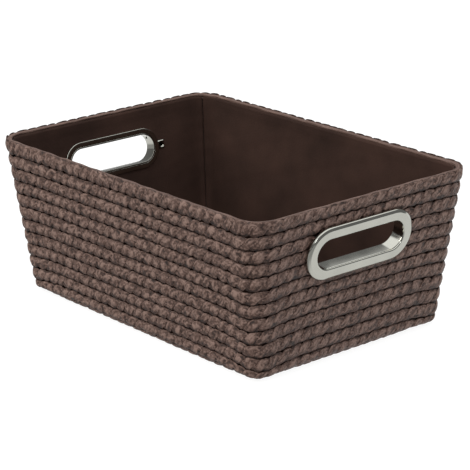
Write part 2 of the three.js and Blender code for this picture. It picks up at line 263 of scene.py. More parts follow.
def make_piece(name, points, quads, material, caps=None, uv=None, attributes=()):
    """A smooth mesh object from whole arrays. uv is one pair for each corner of the quads, and each
    attribute a name with one value for each point."""
    points = points.reshape(-1, 3)
    groups = [quads] if caps is None else [quads, caps]
    corners = np.concatenate([faces.ravel() for faces in groups]).astype(np.int32)
    sizes = np.concatenate([np.full(len(faces), faces.shape[1]) for faces in groups])
    starts = np.concatenate([[0], np.cumsum(sizes)[:-1]]).astype(np.int32)
    mesh = bpy.data.meshes.new(name)
    mesh.vertices.add(len(points))
    mesh.vertices.foreach_set("co", points.astype(np.float32).ravel())
    mesh.loops.add(len(corners))
    mesh.loops.foreach_set("vertex_index", corners)
    mesh.polygons.add(len(sizes))
    mesh.polygons.foreach_set("loop_start", starts)
    mesh.polygons.foreach_set("use_smooth", np.ones(len(sizes), bool))
    mesh.update(calc_edges=True)
    if uv is not None:
        values = np.zeros((len(corners), 2), np.float32)
        values[: quads.size] = uv.reshape(-1, 2)
        mesh.uv_layers.new(name="Surface").data.foreach_set("uv", values.ravel())
    for label, values in attributes:
        attribute = mesh.attributes.new(label, "FLOAT", "POINT")
        attribute.data.foreach_set("value", values.astype(np.float32).ravel())
    mesh.validate()
    mesh.materials.append(material)
    piece = bpy.data.objects.new(name, mesh)
    bpy.context.scene.collection.objects.link(piece)
    return piece


def volume(points, quads):
    """The space inside a closed mesh of quads: a sixth of the sum of its triangles' triple products."""
    flat = points.reshape(-1, 3)
    a, b, c, d = (flat[quads[:, k]] for k in range(4))
    return float((np.cross(a, b) * c + np.cross(a, c) * d).sum() / 6)


def settle(piece, slot, *nodes):
    """Rides on the basket's one body and stands for its CAD nodes. slot is not used."""
    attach(piece, "root")
    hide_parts(*nodes)
    return piece


# ---- Materials ----


def node(tree, kind, at, **values):
    """A shader node with its settings, and its inputs set by name or number."""
    made = tree.nodes.new("ShaderNode" + kind)
    made.location = at
    inputs = values.pop("inputs", {})
    for name, value in values.items():
        setattr(made, name, value)
    for socket, value in inputs.items():
        if isinstance(value, bpy.types.NodeSocket):
            tree.links.new(value, made.inputs[socket])
        else:
            made.inputs[socket].default_value = value
    return made


def group_tree(name, inputs, outputs):
    """A new node group with named inputs (name, kind, default) and outputs (name, kind)."""
    tree = bpy.data.node_groups.new(name, "ShaderNodeTree")
    for label, kind, default in inputs:
        socket = tree.interface.new_socket(label, in_out="INPUT", socket_type="NodeSocket" + kind)
        if default is not None:
            socket.default_value = default
    for label, kind in outputs:
        tree.interface.new_socket(label, in_out="OUTPUT", socket_type="NodeSocket" + kind)
    return tree, tree.nodes.new("NodeGroupInput"), tree.nodes.new("NodeGroupOutput")


def streaks_group():
    """Fine streaks that run along a strand: noise drawn out along U, at two sizes."""
    inputs = [("Vector", "Vector", None), ("Along", "Float", 60.0), ("Across", "Float", 900.0)]
    tree, given, out = group_tree("Strand streaks", inputs, [("Streak", "Float")])
    scale = node(tree, "CombineXYZ", (-500, -100), inputs={
        "X": given.outputs["Along"], "Y": given.outputs["Across"], "Z": 1.0,
    })
    drawn = node(tree, "VectorMath", (-320, 0), operation="MULTIPLY", inputs={
        0: given.outputs["Vector"], 1: scale.outputs[0],
    })
    fine = node(tree, "TexNoise", (-140, 120), inputs={
        "Vector": drawn.outputs[0], "Scale": 1.0, "Detail": 3.0, "Roughness": 0.6,
    })
    broad = node(tree, "TexNoise", (-140, -120), inputs={
        "Vector": drawn.outputs[0], "Scale": 0.8, "Detail": 1.0,
    })
    both = node(tree, "Math", (60, 0), operation="ADD", inputs={
        0: fine.outputs["Fac"], 1: broad.outputs["Fac"],
    })
    half = node(tree, "Math", (220, 0), operation="MULTIPLY", inputs={0: both.outputs[0], 1: 0.5})
    tree.links.new(half.outputs[0], out.inputs["Streak"])
    return tree


def mottle_group():
    """Soft cloudy variation for cloth, board and dulled metal, from two sizes of noise."""
    inputs = [("Vector", "Vector", None), ("Scale", "Float", 30.0)]
    tree, given, out = group_tree("Mottle", inputs, [("Cloud", "Float"), ("Grain", "Float")])
    cloud = node(tree, "TexNoise", (-200, 120), inputs={
        "Vector": given.outputs["Vector"], "Scale": given.outputs["Scale"], "Detail": 4.0,
    })
    finer = node(tree, "Math", (-400, -120), operation="MULTIPLY", inputs={
        0: given.outputs["Scale"], 1: 24.0,
    })
    grain = node(tree, "TexNoise", (-200, -120), inputs={
        "Vector": given.outputs["Vector"], "Scale": finer.outputs[0], "Detail": 2.0,
    })
    tree.links.new(cloud.outputs["Fac"], out.inputs["Cloud"])
    tree.links.new(grain.outputs["Fac"], out.inputs["Grain"])
    return tree


GROUP_MAKERS = {"Strand streaks": streaks_group, "Mottle": mottle_group}


def use_group(tree, name, at, **inputs):
    """The named node group, made the first time it is asked for, placed in a material's tree."""
    shared = bpy.data.node_groups.get(name) or GROUP_MAKERS[name]()
    placed = tree.nodes.new("ShaderNodeGroup")
    placed.node_tree = shared
    placed.location = at
    for socket, value in inputs.items():
        if isinstance(value, bpy.types.NodeSocket):
            tree.links.new(value, placed.inputs[socket])
        else:
            placed.inputs[socket].default_value = value
    return placed


def new_material(name, **surface):
    """An empty material with its Principled BSDF, whose plain values are given by socket name."""
    material = bpy.data.materials.new(name)
    material.use_nodes = True
    shader = material.node_tree.nodes["Principled BSDF"]
    for socket, value in surface.items():
        shader.inputs[socket.replace("_", " ")].default_value = value
    return material, material.node_tree, shader


def colour(value):
    """A colour property as red, green, blue and full alpha."""
    return (*value[:3], 1.0)


def three_colours(tree, factor, dark, middle, light, at, places=(0.0, 0.5, 1.0)):
    """A ramp from dark through middle to light."""
    ramp = node(tree, "ValToRGB", at, inputs={"Fac": factor})
    stops = ramp.color_ramp.elements
    stops.new(places[1])
    for stop, place, value in zip(stops, places, (dark, middle, light)):
        stop.position = place
        stop.color = colour(value)
    return ramp


def tape_material():
    """Crumpled paper-like tape: painted shade in the hollows of the plait and on each row's lower half,
    a painted highlight on the crests and each row's upper half, streaked along each strand, each
    stretch of strand a little different, with a dull sheen."""
    tape = settings("tape")
    material, tree, shader = new_material("Plaited tape", Specular_IOR_Level=0.35)
    place = node(tree, "UVMap", (-1400, 0), uv_map="Surface")
    solid = node(tree, "TexCoord", (-1400, -250))
    # This attribute is painted light: painted shade in the plait's hollows and low in each row, a
    # painted highlight on the crests and high in each row.
    painted_shading = node(tree, "Attribute", (-1200, 250), attribute_name="painted_shading")
    tone = node(tree, "Attribute", (-1200, 420), attribute_name="tone")
    streaks = use_group(
        tree, "Strand streaks", (-1150, 0), Vector=place.outputs[0], Along=150.0, Across=760.0,
    )
    crumple = use_group(tree, "Mottle", (-1150, -250), Vector=solid.outputs["Object"], Scale=24.0)
    weak = node(tree, "Math", (-1050, -250), operation="MULTIPLY", inputs={
        0: crumple.outputs["Grain"], 1: 0.40,
    })
    relief = node(tree, "Math", (-950, -120), operation="ADD", inputs={
        0: streaks.outputs[0], 1: weak.outputs[0],
    })
    streak = node(tree, "MapRange", (-760, 0), inputs={
        0: relief.outputs[0], 1: 0.40, 2: 1.00, 3: -0.95, 4: 0.95,
    })
    sum_one = node(tree, "Math", (-580, 200), operation="ADD", inputs={
        0: painted_shading.outputs["Fac"], 1: streak.outputs[0],
    })
    sum_two = node(tree, "Math", (-420, 200), operation="ADD", inputs={
        0: sum_one.outputs[0], 1: tone.outputs["Fac"],
    })
    ramp = three_colours(tree, sum_two.outputs[0], tape.dark, tape.middle, tape.light, (-250, 200))
    bump = node(tree, "Bump", (-250, -200), inputs={
        "Strength": 1.0, "Distance": 0.0018, "Height": relief.outputs[0],
    })
    rough = node(tree, "MapRange", (-250, -20), inputs={
        0: streaks.outputs[0], 1: 0.3, 2: 0.7, 3: 0.42, 4: 0.66,
    })
    tree.links.new(ramp.outputs[0], shader.inputs["Base Color"])
    tree.links.new(rough.outputs[0], shader.inputs["Roughness"])
    tree.links.new(bump.outputs[0], shader.inputs["Normal"])
    return material


def edging_material():
    """The rim's edging: the same film as the tape, pulled smooth, with fine lines along it."""
    tape = settings("tape")
    material, tree, shader = new_material("Rim edging", Roughness=0.55, Specular_IOR_Level=0.35)
    place = node(tree, "UVMap", (-900, 0), uv_map="Surface")
    streaks = use_group(
        tree, "Strand streaks", (-700, 0), Vector=place.outputs[0], Along=50.0, Across=1300.0,
    )
    ramp = three_colours(
        tree, streaks.outputs[0], tape.dark, tape.middle, tape.light, (-450, 150), (0.2, 0.45, 0.75),
    )
    bump = node(tree, "Bump", (-450, -150), inputs={
        "Strength": 0.5, "Distance": 0.0003, "Height": streaks.outputs[0],
    })
    tree.links.new(ramp.outputs[0], shader.inputs["Base Color"])
    tree.links.new(bump.outputs[0], shader.inputs["Normal"])
    return material


def cloth_material():
    """Matt cloth, cloudy in tone, with a fine felted grain."""
    lining = settings("lining")
    material, tree, shader = new_material("Lining cloth", Roughness=0.9, Specular_IOR_Level=0.2)
    place = node(tree, "TexCoord", (-1000, 0))
    mottle = use_group(tree, "Mottle", (-800, 0), Vector=place.outputs["Object"], Scale=22.0)
    base = Vector(lining.cloth)
    ramp = three_colours(
        tree, mottle.outputs["Cloud"], base * 0.62, base, base * 1.45, (-500, 150), (0.25, 0.5, 0.8),
    )
    bump = node(tree, "Bump", (-500, -150), inputs={
        "Strength": 0.5, "Distance": 0.0003, "Height": mottle.outputs["Grain"],
    })
    tree.links.new(ramp.outputs[0], shader.inputs["Base Color"])
    tree.links.new(bump.outputs[0], shader.inputs["Normal"])
    return material


def metal_material():
    """Bright plated metal with faint smears that dull it in places."""
    grip = settings("grip")
    material, tree, shader = new_material("Bright metal", Metallic=1.0, Roughness=0.12)
    place = node(tree, "TexCoord", (-900, 0))
    mottle = use_group(tree, "Mottle", (-700, 0), Vector=place.outputs["Object"], Scale=45.0)
    base = Vector(grip.metal)
    ramp = three_colours(
        tree, mottle.outputs["Cloud"], base * 0.94, base, base * 1.04, (-450, 150), (0.3, 0.5, 0.7),
    )
    rough = node(tree, "MapRange", (-450, -100), inputs={
        0: mottle.outputs["Cloud"], 1: 0.3, 2: 0.7, 3: 0.09, 4: 0.17,
    })
    tree.links.new(ramp.outputs[0], shader.inputs["Base Color"])
    tree.links.new(rough.outputs[0], shader.inputs["Roughness"])
    return material


def wire_material():
    """Drawn steel wire, dulled in patches."""
    material, tree, shader = new_material("Frame wire", Metallic=1.0)
    place = node(tree, "TexCoord", (-900, 0))
    mottle = use_group(tree, "Mottle", (-700, 0), Vector=place.outputs["Object"], Scale=80.0)
    ramp = three_colours(
        tree, mottle.outputs["Cloud"], (0.09, 0.09, 0.09), (0.17, 0.17, 0.17), (0.26, 0.26, 0.27),
        (-450, 150),
    )
    rough = node(tree, "MapRange", (-450, -100), inputs={
        0: mottle.outputs["Grain"], 1: 0.3, 2: 0.7, 3: 0.35, 4: 0.6,
    })
    tree.links.new(ramp.outputs[0], shader.inputs["Base Color"])
    tree.links.new(rough.outputs[0], shader.inputs["Roughness"])
    return material


def board_material():
    """Grey-brown pulp board with flecks."""
    material, tree, shader = new_material("Stiff board", Roughness=0.9)
    place = node(tree, "TexCoord", (-900, 0))
    mottle = use_group(tree, "Mottle", (-700, 0), Vector=place.outputs["Object"], Scale=60.0)
    ramp = three_colours(
        tree, mottle.outputs["Grain"], (0.13, 0.10, 0.07), (0.22, 0.17, 0.12), (0.32, 0.26, 0.19),
        (-450, 150), (0.3, 0.5, 0.7),
    )
    tree.links.new(ramp.outputs[0], shader.inputs["Base Color"])
    return material


MATERIAL_MAKERS = {
    "Plaited tape": tape_material,
    "Rim edging": edging_material,
    "Lining cloth": cloth_material,
    "Bright metal": metal_material,
    "Frame wire": wire_material,
    "Stiff board": board_material,
}


def finish_of(name):
    """The named material, made the first time it is asked for."""
    return bpy.data.materials.get(name) or MATERIAL_MAKERS[name]()


# ---- Plaited tape ----

STRANDS = 2
STRAND_SCALE = np.array([1.14, 0.90])  # one strand is fuller than the other
UPRIGHT = 0.3  # how far the lumps are pushed upright, as a share of the height in the row
BACK_DEPTH = 0.0031  # how deep the plait's flat back lies under the outer face
RIM_TUCK = -0.0004  # how far down from the rim the first row's plait begins
FOOT_SPARE = 0.0028  # how far the last wall row runs on past the foot's bend
HOLE_ROWS = {3: 0.0470, 4: 0.0505, 5: 0.0470}  # rows that end at a grip, and how far from its middle


def plait_points(upper, lower, start, stop, joins, steps, around, seed):
    """Two strands twisted round each other and pressed flat.

    Along the row a strand's centre swings up and down as the sine of its phase and in and out as its
    cosine, half a turn after its neighbour. Its section is a flat oval, square to its run. A soft limit
    presses the strands' edges into nearly straight row edges, which sink in as the square, and another
    one flattens the back. start and stop are shares of the way round; upper and lower are distances
    down the wall."""
    tape = settings("tape")
    middle, width = (upper + lower) / 2, lower - upper
    inset, z, tip = wall_profile(np.array(middle))
    knots = outline_knots(inset + tape.depth * np.cos(tip), z)
    round_it = knots[-1]
    periods = round(round_it / tape.period)
    count = max(int(round(periods * steps * (stop - start))), 2)
    share = start + (stop - start) * np.arange(count) / (count if joins else count - 1)
    share = np.broadcast_to(share, (STRANDS, count))
    turns = np.arange(STRANDS)[:, None] / STRANDS

    def uneven(offset, reach, low, high):
        first = seed * 100 + offset * 10
        return np.stack([wander(share[k], first + k, reach, low, high) for k in range(STRANDS)])

    phase = 2 * math.pi * (periods * share + turns) + uneven(1, 0.35, periods // 4, periods)
    narrow = width / settings("wall").row
    scale = STRAND_SCALE[:, None] * narrow
    half_width = tape.strand_width / 2 * scale * (1 + uneven(2, 0.10, periods, 4 * periods))
    half_thickness = tape.strand_thickness / 2 * (1 + uneven(3, 0.16, periods, 5 * periods))
    swing = (width * 1.22 - tape.strand_width * narrow) / 2
    across = swing * np.sin(phase) + uneven(4, 0.22 * MM, periods, 5 * periods)
    rise = tape.crossing * np.cos(phase) + uneven(5, 0.14 * MM, 2 * periods, 6 * periods)
    slope = np.arctan2(swing * 2 * math.pi * np.cos(phase), tape.period)
    angle = 2 * math.pi * np.arange(around) / around
    side = np.sign(np.cos(angle)) * np.abs(np.cos(angle)) ** 0.8
    front = -np.sign(np.sin(angle)) * np.abs(np.sin(angle)) ** 0.8
    out = half_width[..., None] * side
    lift = half_thickness[..., None] * front
    level = (across[..., None] + out * np.cos(slope)[..., None]) / (width / 2 + 0.05 * MM)
    level = level / (1 + np.abs(level) ** 7) ** (1 / 7)
    eta = level * (width / 2 + 0.05 * MM)
    along = share[..., None] * round_it - out * np.sin(slope)[..., None] - UPRIGHT * eta
    lean = tape.overhang * (1 - np.clip((middle - 0.120) / 0.02, 0, 1))
    height = rise[..., None] + lift - lean * level - 0.9 * MM * level**2 - 0.2 * MM * level**8
    floor = tape.depth - BACK_DEPTH
    height = floor + np.logaddexp(0, (height - floor) / (0.25 * MM)) * 0.25 * MM
    points = on_wall(along, middle - eta, tape.depth - height, knots)
    # Painted light: painted shade deep in the plait and on each row's lower half, a painted highlight
    # on the crests and each row's upper half.
    painted_shading = np.clip(0.36 + height / (4.0 * MM) + 0.20 * level, 0, 1)
    tone = np.broadcast_to(uneven(6, 0.09, periods // 2, 2 * periods)[..., None], painted_shading.shape)
    return points, painted_shading, tone, round_it * (stop - start)


def plaited_row(name, upper, lower, seed, start=0.0, stop=1.0, steps=18, around=12):
    """One row of plaited tape, or a stretch of it whose ends are closed."""
    joins = stop - start == 1.0
    points, painted_shading, tone, length = plait_points(upper, lower, start, stop, joins, steps, around, seed)
    count = points.shape[1]
    quads, rows, columns = grid_quads(STRANDS, count, around, joins, True)
    uv = np.stack([rows / count * length * 1.25, columns / around * 0.013 + seed * 0.37], -1)
    caps = None
    if not joins:
        rings = np.arange(STRANDS * count * around).reshape(STRANDS, count, around)
        caps = np.concatenate([rings[:, 0, ::-1], rings[:, -1]])
    if volume(points, quads) <= 0:
        raise RuntimeError(f"{name} is inside out")
    attributes = [("painted_shading", painted_shading), ("tone", tone)]
    return make_piece(name, points, quads, finish_of("Plaited tape"), caps, uv, attributes)


def grip_middle(side):
    """Where along Y a grip sits."""
    low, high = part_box(f"grip_{side}_front_ring")
    return (low.y + high.y) / 2


def row_edge(row):
    """How far down from the rim a row ends: the wall's rows, then the foot's and the base's."""
    wall = settings("wall")
    if row <= wall.rows - 1:
        return wall.top_row + (row - 1) * wall.row
    turned = wall.height - wall.foot_bend + wall.foot_bend * QUARTER + FOOT_SPARE
    return turned + (row - wall.rows) * wall.base_row


class BASKET_OT_wall_rows(bpy.types.Operator):
    """Plaits the rows of the wall, from the rim to the turned-under foot"""

    bl_idname = "basket.wall_rows"
    bl_label = "Wall Rows"

    def execute(self, context):
        wall = settings("wall")
        for row in range(1, wall.rows + 1):
            upper = RIM_TUCK if row == 1 else row_edge(row - 1)
            name = f"plaited_row_{row:02d}"
            cad = f"braid_row_{row:02d}"
            if row not in HOLE_ROWS:
                settle(plaited_row(name, upper, row_edge(row), row), "plaited_tape", cad)
                continue
            inset, z, _ = wall_profile(np.array((upper + row_edge(row)) / 2))
            round_it = outline_knots(inset + settings("tape").depth, z)[-1]
            reach, right, left = HOLE_ROWS[row], grip_middle("right"), grip_middle("left")
            halves = {
                "back": ((right + reach) / round_it, 0.5 - (left + reach) / round_it),
                "front": (0.5 - (left - reach) / round_it, 1 + (right - reach) / round_it),
            }
            for half, (start, stop) in halves.items():
                piece = plaited_row(f"{name}_{half}", upper, row_edge(row), row, start, stop)
                settle(piece, "plaited_tape", f"{cad}_{half}" if row == 4 else cad)
        return {"FINISHED"}


class BASKET_OT_base_rows(bpy.types.Operator):
    """Plaits the rows of the base, round and round to the middle"""

    bl_idname = "basket.base_rows"
    bl_label = "Base Rows"

    def execute(self, context):
        wall = settings("wall")
        for row in range(1, wall.base_rows + 1):
            upper, lower = row_edge(wall.rows + row - 1), row_edge(wall.rows + row)
            piece = plaited_row(f"plaited_base_{row:02d}", upper, lower, 40 + row, steps=14, around=10)
            settle(piece, "plaited_tape", f"base_row_{row:02d}")
        return {"FINISHED"}


# ---- Rim edging ----

EDGING_INSET = 0.0050  # middle of the edging, inside the outer face
EDGING_HALF_WIDTH = 0.0021
EDGING_HALF_HEIGHT = 0.0011
EDGING_DOWN = 0.0017  # middle of the edging, down from the rim
EDGING_WAVE = 0.25 * MM  # how far its place wanders
ROUND_STEPS = 720


def ring_sweep(name, half_width, half_height, inset, down, material, seed, around=16):
    """A flat oval carried round the rim, whose place and size wander a little."""
    knots = outline_knots(0.0, settings("wall").height)
    share = np.arange(ROUND_STEPS) / ROUND_STEPS
    angle = 2 * math.pi * np.arange(around) / around
    side = np.sign(np.cos(angle)) * np.abs(np.cos(angle)) ** 0.7
    front = np.sign(np.sin(angle)) * np.abs(np.sin(angle)) ** 0.7
    width = half_width * (1 + wander(share, seed, 0.06, 20, 90))
    place = inset + wander(share, seed + 1, EDGING_WAVE, 6, 60)
    level = down + wander(share, seed + 2, EDGING_WAVE, 6, 60)
    depth = place[:, None] + width[:, None] * side
    drop = level[:, None] + half_height * front - 0.35 * MM * np.square(side)
    along = np.broadcast_to(share[:, None] * knots[-1], depth.shape)
    points = on_wall(along, drop, depth, knots)
    quads, rows, columns = grid_quads(1, ROUND_STEPS, around, True, True)
    if volume(points, quads) < 0:
        quads, rows, columns = quads[:, ::-1], rows[:, ::-1], columns[:, ::-1]
    uv = np.stack([rows / ROUND_STEPS * knots[-1], columns / around * 0.014], -1)
    return make_piece(name, points, quads, material, uv=uv)


class BASKET_OT_rim_edging(bpy.types.Operator):
    """Lays the smooth edging over the top row and the lining"""

    bl_idname = "basket.rim_edging"
    bl_label = "Rim Edging"

    def execute(self, context):
        piece = ring_sweep(
            "rim_edging", EDGING_HALF_WIDTH, EDGING_HALF_HEIGHT, EDGING_INSET, EDGING_DOWN,
            finish_of("Rim edging"), 301,
        )
        settle(piece, "plaited_tape", "braid_row_01")
        return {"FINISHED"}


# ---- Lining ----

LINING_STEPS_ROUND = 2.5 * MM
LINING_DEPTH = 0.0058  # back of the cloth, inside the outer face
LINING_EASE = 0.35 * MM  # how far the cloth stands off the wall at its flattest
SEAM_OPEN = 0.00015  # half of the gap between two panels
TOP_TUCK = 0.0006  # how far the cloth goes up into the edging
EASING_BAND = 0.02  # from a panel's top and bottom, where its waves die out
FLOOR_INSET = 0.0064  # edge of the floor cloth, inside the foot's outline
FLOOR_RINGS = 30
FLOOR_ROUND = 360
FLOOR_MIDDLE = TIGHTEST_BEND + 0.0005  # half width of the floor cloth's last ring


def lining_panel(name, corner, cad, side=None):
    """A wall panel of cloth from the middle of one corner to the middle of the next.

    It follows the wall at the lining's depth, is pushed out and in by slow waves, gathers into the
    seams, and has a hem whose foot shows as a small step. A panel with a grip has its hole."""
    lining = settings("lining")
    low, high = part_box(cad)[0].z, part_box(cad)[1].z + TOP_TUCK
    middle_z = (low + high) / 2
    depth = LINING_DEPTH + lining.thickness
    knots = outline_knots(depth, middle_z)
    corners = (knots[1:8:2] + knots[2:9:2]) / 2
    start = corners[corner] + SEAM_OPEN
    stop = corners[(corner + 1) % 4] - SEAM_OPEN + (knots[-1] if corner == 3 else 0)
    columns = int(round((stop - start) / LINING_STEPS_ROUND)) + 1
    rows = int(round((high - low) / LINING_STEPS_ROUND)) + 1
    along = np.linspace(start, stop, columns)[None, :] * np.ones((rows, 1))
    z = np.linspace(low, high, rows)[:, None] * np.ones((1, columns))
    from_seam = np.minimum(along - start, stop - along)
    share = along / knots[-1]
    waves = wander(share, 500 + corner, 0.22 * MM, 3, 16)
    waves = waves + wander(share + z * 3.0, 520 + corner, 0.12 * MM, 12, 40)
    hem_edge = high - lining.hem
    hem = 0.35 * MM / (1 + np.exp(-(z - hem_edge) / (0.5 * MM)))
    held = np.clip((high - z) / EASING_BAND, 0, 1) * np.clip((z - low) / EASING_BAND, 0, 1)
    seam = 0.9 * MM * np.exp(-np.square(from_seam / (2.2 * MM)))
    folds = np.sin(z / (2.6 * MM) + 2 * np.sin(z / 0.019 + corner))
    puckers = 0.30 * MM * folds * np.exp(-from_seam / (7 * MM))
    inset = depth + LINING_EASE + (waves + puckers) * held + hem + seam
    x, y, _ = outline_point(along, knots, inset, z)
    points = np.stack([x, y, z], -1)
    quads, quad_rows, quad_columns = grid_quads(1, rows, columns, False, False)
    if side is not None:
        points, quads, keep = cut_for_grip(points, quads, side)
        quad_rows, quad_columns = quad_rows[keep], quad_columns[keep]
    quads, quad_rows, quad_columns = quads[:, ::-1], quad_rows[:, ::-1], quad_columns[:, ::-1]
    uv = np.stack([quad_columns * LINING_STEPS_ROUND, quad_rows * LINING_STEPS_ROUND], -1)
    piece = make_piece(name, points, quads, finish_of("Lining cloth"), uv=uv)
    thicken(piece, lining.thickness)
    settle(piece, "lining_cloth", cad)
    return piece


def thicken(piece, thickness):
    """Gives a sheet of cloth its thickness, away from the side that is seen."""
    solid = piece.modifiers.new("Thickness", "SOLIDIFY")
    solid.thickness = thickness
    solid.offset = -1


def stadium_reach(u, v, half_straight):
    """Distance of a point from the line down the middle of a shape with two round ends."""
    return np.hypot(np.maximum(np.abs(u) - half_straight, 0), v)


def grip_frame(side):
    """The grip's own frame as a matrix: x along the wall, y up its slope, z out of it."""
    wall, grip = settings("wall"), settings("grip")
    turn = 0 if side == "right" else math.pi
    lean = math.atan2((wall.rim_length - wall.foot_length) / 2, wall.height)
    out = Vector((math.cos(lean), 0, -math.sin(lean)))
    up = Vector((math.sin(lean), 0, math.cos(lean)))
    along = grip_middle(side) * math.cos(turn)
    place = Vector((wall.rim_length / 2, along, wall.height)) - up * grip.drop
    axes = Matrix((Vector((0, 1, 0)), up, out)).transposed().to_4x4()
    return Matrix.Rotation(turn, 4, "Z") @ Matrix.Translation(place) @ axes


def transformed(points, matrix):
    """An array of points taken through a 4 by 4 matrix."""
    full = np.array(matrix)
    return points @ full[:3, :3].T + full[:3, 3]


def cut_for_grip(points, quads, side):
    """Opens a panel for a grip. Points near the edge of the hole move out to it, and faces whose
    corners all lie inside it go."""
    grip = settings("grip")
    hole = grip.radius + 0.0027
    shape = points.shape
    into = np.array(grip_frame(side).inverted())
    local = points.reshape(-1, 3) @ into[:3, :3].T + into[:3, 3]
    reach = stadium_reach(local[:, 0], local[:, 1], grip.half_straight)
    near = (reach > hole - 0.0022) & (reach < hole)
    middle = np.clip(local[:, 0], -grip.half_straight, grip.half_straight)
    core = np.stack([middle, np.zeros(len(local))], -1)
    away = local[:, :2] - core
    scale = np.where(near, hole / np.maximum(reach, 1e-6), 1.0)
    local[:, :2] = core + away * scale[:, None]
    moved = transformed(local, grip_frame(side))
    inside = np.where(near, hole, reach) < hole
    keep = ~inside[quads].any(axis=1)
    return moved.reshape(shape), quads[keep], keep


class BASKET_OT_lining(bpy.types.Operator):
    """Hangs the cloth lining: four wall panels and the floor"""

    bl_idname = "basket.lining"
    bl_label = "Lining"

    def execute(self, context):
        lining_panel("lining_back", 0, "liner_back")
        lining_panel("lining_left", 1, "liner_left", "left")
        lining_panel("lining_front", 2, "liner_front")
        lining_panel("lining_right", 3, "liner_right", "right")
        self.lay_floor()
        return {"FINISHED"}

    def lay_floor(self):
        """The floor cloth: rings from its edge to its middle, waved a little by a sine along X times a
        cosine along Y, on the board."""
        lining = settings("lining")
        low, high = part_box("liner_floor")
        knots = outline_knots(FLOOR_INSET, 0.0)
        along = np.arange(FLOOR_ROUND) / FLOOR_ROUND * knots[-1]
        half_width = settings("wall").foot_width / 2
        insets = np.linspace(FLOOR_INSET, half_width - FLOOR_MIDDLE, FLOOR_RINGS)
        points = []
        for inset in insets:
            x, y, _ = outline_point(along, knots, np.full_like(along, inset), 0.0)
            points.append(np.stack([x, y, np.zeros_like(x)], -1))
        points = np.array(points)
        waves = 0.25 * MM * np.sin(points[..., 0] * 90) * np.cos(points[..., 1] * 70)
        points[..., 2] = high.z - lining.thickness + 0.3 * MM + waves
        quads, rows, columns = grid_quads(1, FLOOR_RINGS, FLOOR_ROUND, False, True)
        quads, rows, columns = quads[:, ::-1], rows[:, ::-1], columns[:, ::-1]
        uv = np.stack([columns * MM, rows * MM], -1)
        caps = np.arange(FLOOR_ROUND)[None, :] + (FLOOR_RINGS - 1) * FLOOR_ROUND
        piece = make_piece("lining_floor", points, quads, finish_of("Lining cloth"), caps, uv)
        thicken(piece, lining.thickness)
        settle(piece, "lining_cloth", "liner_floor")


# ---- Grips ----

ARC_STEPS = 28
STRAIGHT_STEPS = 10


def stadium(reach):
    """Points round two straight sides and two round ends, at a distance from the opening's edge."""
    grip = settings("grip")
    half = grip.half_straight
    arc = np.linspace(-QUARTER, QUARTER, ARC_STEPS + 1)
    run = np.linspace(half, -half, STRAIGHT_STEPS + 1)[1:-1]
    core = np.concatenate([np.full(ARC_STEPS + 1, half), run, np.full(ARC_STEPS + 1, -half), -run])
    upper, lower = np.full(len(run), QUARTER), np.full(len(run), 3 * QUARTER)
    turn = np.concatenate([arc, upper, arc + math.pi, lower])
    radius = grip.radius + np.asarray(reach)[..., None]
    return np.stack([core + radius * np.cos(turn), radius * np.sin(turn)], -1)


def rounded(corners, radii, steps=9):
    """A closed outline with each corner rounded: a quadratic curve from edge to edge round it."""
    corners = np.array(corners, float)
    before = np.roll(corners, 1, axis=0) - corners
    after = np.roll(corners, -1, axis=0) - corners
    radii = np.array(radii, float)[:, None]
    first = corners + before / np.linalg.norm(before, axis=1, keepdims=True) * radii
    last = corners + after / np.linalg.norm(after, axis=1, keepdims=True) * radii
    t = np.linspace(0, 1, steps)[None, :, None]
    curve = first[:, None] * (1 - t) ** 2 + 2 * corners[:, None] * t * (1 - t) + last[:, None] * t**2
    return curve.reshape(-1, 2)


# Corners of a ring's section in millimetres: distance out from the opening's edge, and height out of
# the wall. The third number is how far each corner is rounded.
FRONT_RING = [
    (10.2, 0.3, 0.15), (10.2, 2.2, 1.3), (7.5, 3.8, 0.35), (0, 3.8, 2.3), (0, -9, 0.25),
    (1.2, -9, 0.25), (1.2, 0.3, 0.1),
]
BACK_RING = [(1.5, -8.7, 0.3), (6.0, -8.7, 0.7), (6.0, -6.9, 0.2), (1.5, -6.9, 0.2)]


def grip_ring(name, section, side, cad):
    """A section carried round the grip's opening, placed in the wall."""
    corners = np.array(section) * MM
    outline = rounded(corners[:, :2], corners[:, 2])
    flat = stadium(outline[:, 0])
    height = np.broadcast_to(outline[:, 1][:, None, None], flat.shape[:2] + (1,))
    points = transformed(np.concatenate([flat, height], -1), grip_frame(side))
    quads, _, _ = grid_quads(1, points.shape[0], points.shape[1], True, True)
    if volume(points, quads) < 0:
        quads = quads[:, ::-1]
    piece = make_piece(name, points, quads, finish_of("Bright metal"))
    return settle(piece, "bright_metal", cad)


def grip_lugs(name, side, cad):
    """The two lugs of a back ring, each a small plate with a rounded outline and rounded-off edges."""
    grip = settings("grip")
    outline = rounded([(-3.6, -4), (3.6, -4), (3.6, 4), (-3.6, 4)], [0.8, 0.8, 0.8, 0.8]) * MM
    layers = np.array([(0.70, -8.5), (0.88, -8.3), (1.0, -7.8), (1.0, -7.0), (0.88, -6.9)])
    pieces = []
    across = len(outline)
    for end in (-1, 1):
        middle = end * (grip.half_straight + grip.radius + 0.0060 + 0.0032)
        flat = outline[None] * layers[:, 0][:, None, None]
        height = np.broadcast_to((layers[:, 1] * MM)[:, None, None], flat.shape[:2] + (1,))
        points = np.concatenate([flat, height], -1)
        points[..., 0] += middle
        pieces.append(points)
    points = transformed(np.array(pieces), grip_frame(side))
    quads, _, _ = grid_quads(2, len(layers), across, False, True)
    rings = np.arange(2 * len(layers) * across).reshape(2, len(layers), across)
    caps = np.concatenate([rings[:, 0, ::-1], rings[:, -1]])
    if volume(points, quads) < 0:
        quads, caps = quads[:, ::-1], caps[:, ::-1]
    piece = make_piece(name, points, quads, finish_of("Bright metal"), caps)
    return settle(piece, "bright_metal", cad)


